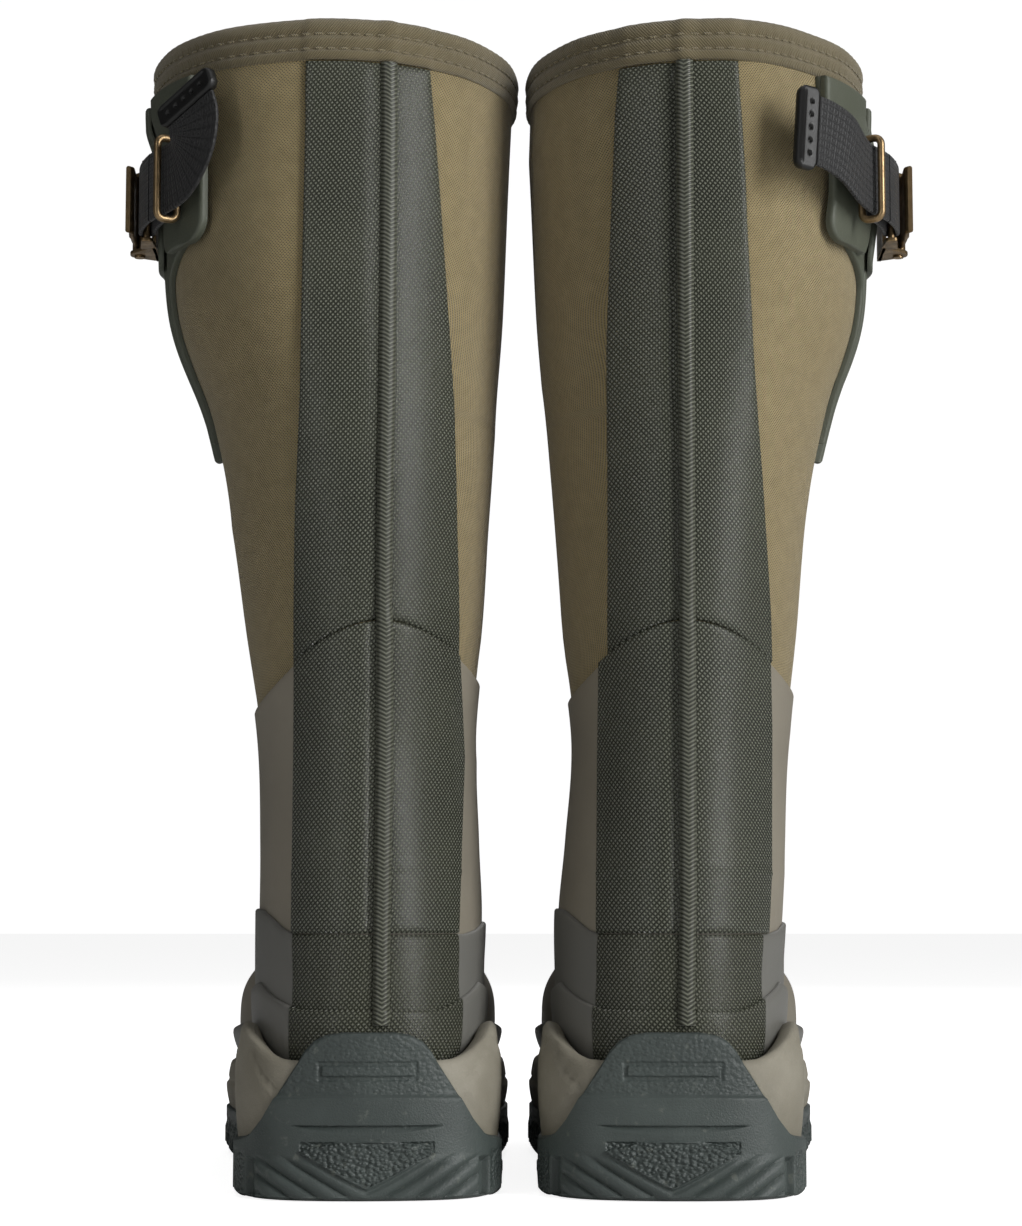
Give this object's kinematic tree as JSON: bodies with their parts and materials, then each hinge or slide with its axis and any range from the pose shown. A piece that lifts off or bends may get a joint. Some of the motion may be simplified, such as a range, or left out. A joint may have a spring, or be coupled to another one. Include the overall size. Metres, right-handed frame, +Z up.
{
  "type": "insulated hunting boots",
  "caption": "Pair of tall insulated rubber and neoprene boots with lugged soles, a rear calf strip, and a side gusset drawn in by a strap, cam buckle and keeper ring.",
  "frame": {"origin": "middle of the pair's footprint, on the ground", "axes": "+X from the left boot to the right boot, +Y from the heels to the toes, +Z up"},
  "size_m": [0.2906, 0.3094, 0.408],
  "materials": {
    "outsole_rubber": "pebbled matt",
    "midsole_foam": "satin",
    "steel": "plain",
    "board": "pressed fibre",
    "footbed_foam": "napped",
    "neoprene": "knit face on foam",
    "lining": "napped",
    "smooth_rubber": "satin",
    "textured_rubber": "pebbled",
    "embossed_rubber": "embossed diamonds, glossy",
    "binding": "folded and stitched",
    "stretch_fabric": "ribbed",
    "trim_rubber": "satin",
    "webbing": "woven",
    "tip_rubber": "moulded",
    "antique_brass": "antiqued"
  },
  "bodies": {
    "left_boot": {"left_ankle_wrap": "smooth_rubber", "left_buckle_frame": "antique_brass", "left_buckle_patch": "trim_rubber", "left_buckle_rivet": "antique_brass", "left_calf_strip": "embossed_rubber", "left_collar_binding": "binding", "left_foot_lining": "lining", "left_foot_sock": "neoprene", "left_footbed": "footbed_foam", "left_foxing_band": "textured_rubber", "left_gusset_panel": "stretch_fabric", "left_gusset_trim": "trim_rubber", "left_heel_counter": "textured_rubber", "left_lasting_board": "board", "left_leg_lining": "lining", "left_leg_sleeve": "neoprene", "left_lever_pin": "antique_brass", "left_midsole": "midsole_foam", "left_outsole": "outsole_rubber", "left_rear_guard": "embossed_rubber", "left_ring_patch": "trim_rubber", "left_shank": "steel", "left_spine_rib": "embossed_rubber", "left_strap": "webbing", "left_strap_tail": "webbing", "left_strap_tip": "tip_rubber", "left_toe_cap": "textured_rubber", "left_vamp": "smooth_rubber"},
    "left_lever": {"left_buckle_lever": "antique_brass"},
    "left_ring": {"left_keeper_ring": "antique_brass"},
    "right_boot": {"right_ankle_wrap": "smooth_rubber", "right_buckle_frame": "antique_brass", "right_buckle_patch": "trim_rubber", "right_buckle_rivet": "antique_brass", "right_calf_strip": "embossed_rubber", "right_collar_binding": "binding", "right_foot_lining": "lining", "right_foot_sock": "neoprene", "right_footbed": "footbed_foam", "right_foxing_band": "textured_rubber", "right_gusset_panel": "stretch_fabric", "right_gusset_trim": "trim_rubber", "right_heel_counter": "textured_rubber", "right_lasting_board": "board", "right_leg_lining": "lining", "right_leg_sleeve": "neoprene", "right_lever_pin": "antique_brass", "right_midsole": "midsole_foam", "right_outsole": "outsole_rubber", "right_rear_guard": "embossed_rubber", "right_ring_patch": "trim_rubber", "right_shank": "steel", "right_spine_rib": "embossed_rubber", "right_strap": "webbing", "right_strap_tail": "webbing", "right_strap_tip": "tip_rubber", "right_toe_cap": "textured_rubber", "right_vamp": "smooth_rubber"},
    "right_lever": {"right_buckle_lever": "antique_brass"},
    "right_ring": {"right_keeper_ring": "antique_brass"}
  },
  "joints": [
    {"name": "right_boot_lift", "type": "slide", "parent": "left_boot", "child": "right_boot", "axis": [0, 0, 1], "range_m": [0, 0.45]},
    {"name": "left_lever_hinge", "type": "hinge", "parent": "left_boot", "child": "left_lever", "pos_m": [-0.14205, -0.06764, 0.356], "axis": [0, 0, 1], "range_deg": [-100, 0]},
    {"name": "left_ring_hinge", "type": "hinge", "parent": "left_boot", "child": "left_ring", "pos_m": [-0.12209, -0.11951, 0.356], "axis": [0, 0, 1], "range_deg": [-18, 18]},
    {"name": "right_lever_hinge", "type": "hinge", "parent": "right_boot", "child": "right_lever", "pos_m": [0.14205, -0.06764, 0.356], "axis": [0, 0, 1], "range_deg": [0, 100]},
    {"name": "right_ring_hinge", "type": "hinge", "parent": "right_boot", "child": "right_ring", "pos_m": [0.12209, -0.11951, 0.356], "axis": [0, 0, 1], "range_deg": [-18, 18]}
  ]
}
